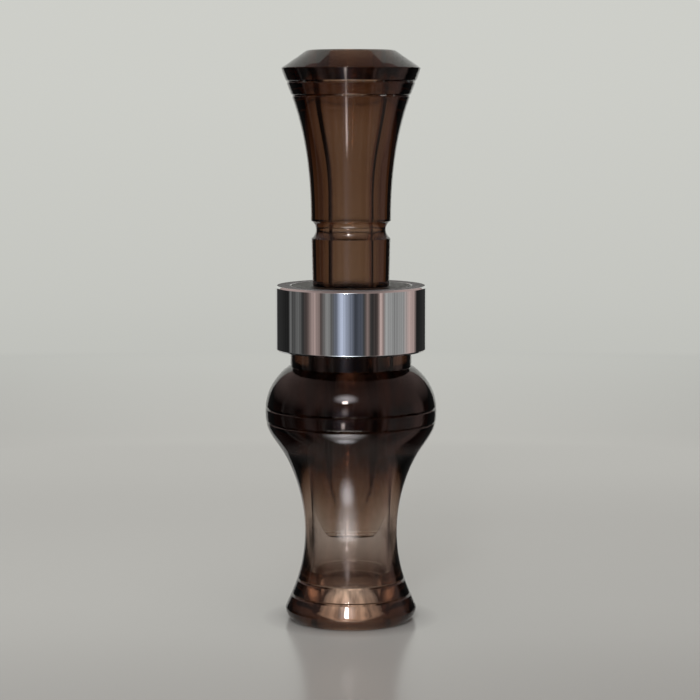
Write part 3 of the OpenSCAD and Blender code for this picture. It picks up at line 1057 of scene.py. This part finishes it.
# Lamps: azimuth and elevation in degrees, distance and size in metres, radiance and colour
LAMP_AIM = Vector((0, 0, 0.06))
KEY_LAMP = (-8.5, 32, 0.9, 0.1, 40, (1.0, 0.98, 0.95))
SOFT_BOX = (0, 75, 0.95, 0.6, 2.5, (1.0, 1.0, 1.0))

# The camera's place in metres, how far it looks down, and its lens and sensor in millimetres
CAMERA_AT = (-0.0002, -0.460, 0.1092)
CAMERA_DOWN_DEG = 6.46
CAMERA_LENS = 113.35
CAMERA_SENSOR = 36


def soft_oval():
    """Shader group: 1 in the middle of a soft oval, 0 outside it."""
    name = "Soft oval"
    if name in bpy.data.node_groups:
        return bpy.data.node_groups[name]
    inputs = {"U": 0.0, "V": 0.0, "Centre U": 0.0, "Centre V": 0.0, "Half U": 0.3, "Half V": 0.2}
    tree, wires, given, result = new_group(name, inputs, ("Mask",))
    squares = []
    for label in ("U", "V"):
        off = wires.math("SUBTRACT", given[label], given["Centre " + label])
        off = wires.math("DIVIDE", off, given["Half " + label])
        squares.append(wires.math("MULTIPLY", off, off))
    near = wires.math("SUBTRACT", 1.0, wires.math("ADD", *squares), clamp=True)
    wires.put(result["Mask"], wires.math("MULTIPLY", near, near))
    return tree


def add_glow(wires, light, u, v, place, strength, colour):
    """Add a soft oval of light to a colour; returns the sum and the oval's mask."""
    values = dict(zip(("Centre U", "Centre V", "Half U", "Half V"), place))
    mask = wires.group(soft_oval(), {"U": u, "V": v, **values})["Mask"]
    tone = [strength * part for part in colour]
    return wires.vector("MULTIPLY_ADD", {0: mask, 1: tone, 2: light}), mask


def paper_glow(wires, c, x, y, z):
    """The ramp of light that the paper gives back, by the distance from its darkest line."""
    depth = wires.math("ABSOLUTE", wires.math("SUBTRACT", y, PAPER_DARK_Y))
    beside = wires.math("SUBTRACT", wires.math("ABSOLUTE", x), PAPER_PLAIN_X)
    depth = wires.math("ADD", wires.math("MAXIMUM", depth, beside), z)
    span = PAPER_GLOW[-1][0]
    stops = [(place / span, [v * level for v in c.paper]) for place, level in PAPER_GLOW]
    return wires.ramp(wires.math("DIVIDE", depth, span, clamp=True), stops)


def light_under(wires, where, glow, x, y, away, through):
    """What reflections and refractions see of the paper under the clear foot and round it: painted
    light and painted shade.
    """
    streaks = wires.stretched(where, (1, STREAK_STRETCH, 0))
    streaks = wires.noise(streaks, STREAKS, LINE_DETAIL)
    ripple = wires.span(streaks, *RIPPLE_SPAN, *RIPPLE)
    light = (0, 0, 0)
    # Painted light round the foot, and a painted dark crescent behind it
    for place, strength, colour in PAINTED_FOOT_LIGHT:
        light, _ = add_glow(wires, light, x, y, place, strength, colour)
    rippled = wires.scale(light, wires.math("MULTIPLY", ripple, through))
    total = wires.vector("MAXIMUM", {0: wires.vector("ADD", {0: glow, 1: rippled})})
    hole = wires.math("LESS_THAN", away, HOLE_R)
    clear = wires.math("MAXIMUM", wires.span(away, *RING_R, RING_SHARE), hole)
    return wires.scale(total, clear)


def where_table(wires, x, y, away, painted_glows):
    """1 on the strip of table that rays see in front of the call, and on the painted glows."""
    table = wires.math("GREATER_THAN", y, TABLE_FRONT)
    table = wires.math("MULTIPLY", table, wires.math("LESS_THAN", away, TABLE_R))
    side = wires.math("ABSOLUTE", x)
    strip = wires.span(side, TABLE_SIDE_IN, TABLE_SIDE_OUT, 1.0, 0.0)
    table = wires.math("MULTIPLY", table, strip)
    return wires.math("MAXIMUM", table, wires.math("GREATER_THAN", painted_glows, 0.0))


def where_backdrop(wires, y, away, through):
    """1 on the cone of paper that rays see behind the call, wider for refracted ones."""
    towards = wires.math("DIVIDE", y, away)
    edge = [math.cos(math.radians(v)) for v in (BACKDROP_HALF_DEG, BACKDROP_THROUGH_DEG)]
    behind = wires.math("GREATER_THAN", towards, wires.span(through, 0.0, 1.0, *edge))
    return wires.math("MULTIPLY", behind, wires.span(away, *BACKDROP_NEAR))


def cove_material(c):
    """Satin paper: pale floor that turns into a lighter wall. Only the camera sees all of it."""
    mat, wires, shader, out = new_material("Paper cove")
    where = wires.add("ShaderNodeTexCoord").outputs["Object"]
    x, y, z = wires.split(where)
    away = wires.radius(x, y)
    through = wires.ray("Is Transmission Ray")
    camera = wires.ray("Is Camera Ray")
    shown = wires.ray("Is Camera Ray", "Is Glossy Ray", "Is Transmission Ray")

    glow = paper_glow(wires, c, x, y, z)
    # Painted shade for the camera: the right front corner darker, then the foot's painted shade on
    # the paper
    shaded, _ = add_glow(wires, glow, x, y, *PAINTED_SHADE_CORNER, c.paper)
    shaded = wires.scale(shaded, wires.span(away, *SHADE_R))
    light = light_under(wires, where, glow, x, y, away, through)
    azimuth = wires.math("ARCTAN2", x, wires.math("MULTIPLY", y, -1.0))
    # Painted glows on the table that only reflections and refractions see: painted highlights on
    # the call
    painted_glows = None
    for (turn, out_to, wide, deep), strength, colour in PAINTED_TABLE_GLOWS:
        place = (math.radians(turn), out_to, math.radians(wide), deep)
        light, mask = add_glow(wires, light, azimuth, away, place, strength, colour)
        painted_glows = mask if painted_glows is None else wires.math("ADD", painted_glows, mask)

    tone = wires.mix(camera, light, shaded)
    fill(wires, shader, Base_Color=(*c.floor, 1), Roughness=PAPER_ROUGH)
    fill(wires, shader, Emission_Color=tone, Emission_Strength=shown)
    plain = wires.add("ShaderNodeEmission", {"Color": tone, "Strength": shown}).outputs[0]
    paper = wires.blend(wires.span(away, *PAPER_FAR), shader.outputs[0], plain)
    table = where_table(wires, x, y, away, painted_glows)
    seen = wires.math("MAXIMUM", table, where_backdrop(wires, y, away, through))
    seen = wires.math("MAXIMUM", seen, camera)
    gone = wires.add("ShaderNodeBsdfTransparent").outputs[0]
    wires.put(out["Surface"], wires.blend(seen, gone, paper))
    return mat


def room_world():
    """The studio round the call, which only reflections and refractions show."""
    world = bpy.data.worlds.new("Studio")
    world.use_nodes = True
    nodes = world.node_tree.nodes
    wires = Wires(world.node_tree)
    x, y, z = wires.split(wires.add("ShaderNodeTexCoord").outputs["Generated"])
    azimuth = wires.math("ARCTAN2", x, wires.math("MULTIPLY", y, -1.0))
    elevation = wires.math("ARCSINE", z)
    stops = [
        (degrees / 360 + 0.5, [level * part for part in tone]) for degrees, level, tone in ROOM
    ]
    room = wires.ramp(wires.span(azimuth, -math.pi, math.pi), stops)
    stripes = wires.noise(azimuth, STRIPES, LINE_DETAIL, "1D", STRIPE_ROUGH)
    striped = wires.scale(room, wires.span(stripes, *STRIPE_SPAN, *STRIPE_RANGE))
    ceiling = wires.scale(CEILING, wires.span(elevation, *ZENITH_SPAN, 1.0, ZENITH_SHARE))
    light = wires.mix(wires.span(elevation, *OVERHEAD_SPAN), striped, ceiling)
    for place, strength, colour in SOFT_LIGHTS:
        place = [math.radians(v) for v in place]
        light, _ = add_glow(wires, light, azimuth, elevation, place, strength, colour)
    back = nodes["Background"]
    fill(wires, back, Color=light, Strength=1.0)
    beyond = wires.add("ShaderNodeBackground", {"Color": (*BEYOND, 1)}).outputs[0]
    shown = wires.blend(wires.ray("Is Camera Ray"), back.outputs[0], beyond)
    wires.put(nodes["World Output"].inputs["Surface"], shown)
    return world


def lamp(name, azimuth, elevation, distance, size, radiance, colour):
    """A square lamp that faces the call; its radiance is in units of plain white."""
    a, e = math.radians(azimuth), math.radians(elevation)
    away = Vector((math.sin(a) * math.cos(e), -math.cos(a) * math.cos(e), math.sin(e)))
    bpy.ops.object.light_add(type="AREA", location=LAMP_AIM + away * distance)
    obj = bpy.context.object
    obj.name = name
    obj.data.size = size
    obj.data.energy = radiance * math.pi * size * size
    obj.data.color = colour
    obj.rotation_euler = away.to_track_quat("Z", "Y").to_euler()
    return obj


def cove_outline():
    """Outline of the cove from the axis: floor, fillet and wall."""
    fillet_r = COVE_R - COVE_FILLET
    outline = [Vector((r, -FLOOR_DROP)) for r in (*FLOOR_RINGS, TABLE_R, FLOOR_OUTER, fillet_r)]
    for i in range(1, COVE_STEPS + 1):
        a = math.pi / 2 * i / COVE_STEPS
        rise = COVE_FILLET * (1 - math.cos(a))
        outline.append(Vector((fillet_r + COVE_FILLET * math.sin(a), rise - FLOOR_DROP)))
    return outline + [Vector((COVE_R, COVE_TOP))]


class CALL_OT_stage(bpy.types.Operator):
    """Set up the paper cove, the studio light and the camera"""

    bl_idname = "call.stage"
    bl_label = "Stage"

    def execute(self, context):
        scene = context.scene
        scene.view_settings.view_transform = "Standard"
        cove = turned("cove", cove_outline(), COVE_TURNS, closed=False, smooth_deg=COVE_SMOOTH_DEG)
        cove.data.materials.clear()
        cove.data.materials.append(cove_material(scene.call_colours))
        scene.world = room_world()
        lamp("key", *KEY_LAMP)
        soft = lamp("soft box", *SOFT_BOX)
        soft.visible_glossy = False
        soft.visible_transmission = False
        bpy.ops.object.camera_add(
            location=CAMERA_AT, rotation=(math.radians(90 - CAMERA_DOWN_DEG), 0, 0)
        )
        camera = context.object
        camera.data.lens = CAMERA_LENS
        camera.data.sensor_width = CAMERA_SENSOR
        scene.camera = camera
        return {"FINISHED"}


class CALL_PT_panel(bpy.types.Panel):
    """Sidebar panel of the bird call"""

    bl_label = "Bird call"
    bl_idname = "CALL_PT_panel"
    bl_space_type = "VIEW_3D"
    bl_region_type = "UI"
    bl_category = "Bird call"

    def draw(self, context):
        column = self.layout.column()
        for operator in OPERATORS:
            column.operator(operator.bl_idname)


OPERATORS = (
    CALL_OT_barrel,
    CALL_OT_band,
    CALL_OT_insert,
    CALL_OT_reed,
    CALL_OT_wedge,
    CALL_OT_stage,
)
CLASSES = (CallSizes, CallColours, *OPERATORS, CALL_PT_panel)


def register():
    for cls in CLASSES:
        bpy.utils.register_class(cls)
    bpy.types.Scene.call_sizes = PointerProperty(type=CallSizes)
    bpy.types.Scene.call_colours = PointerProperty(type=CallColours)


def unregister():
    del bpy.types.Scene.call_colours
    del bpy.types.Scene.call_sizes
    for cls in reversed(CLASSES):
        bpy.utils.unregister_class(cls)


def main():
    register()
    bpy.ops.call.barrel()
    bpy.ops.call.band()
    bpy.ops.call.insert()
    bpy.ops.call.reed()
    bpy.ops.call.wedge()
    bpy.ops.call.stage()


if __name__ == "__main__":
    main()
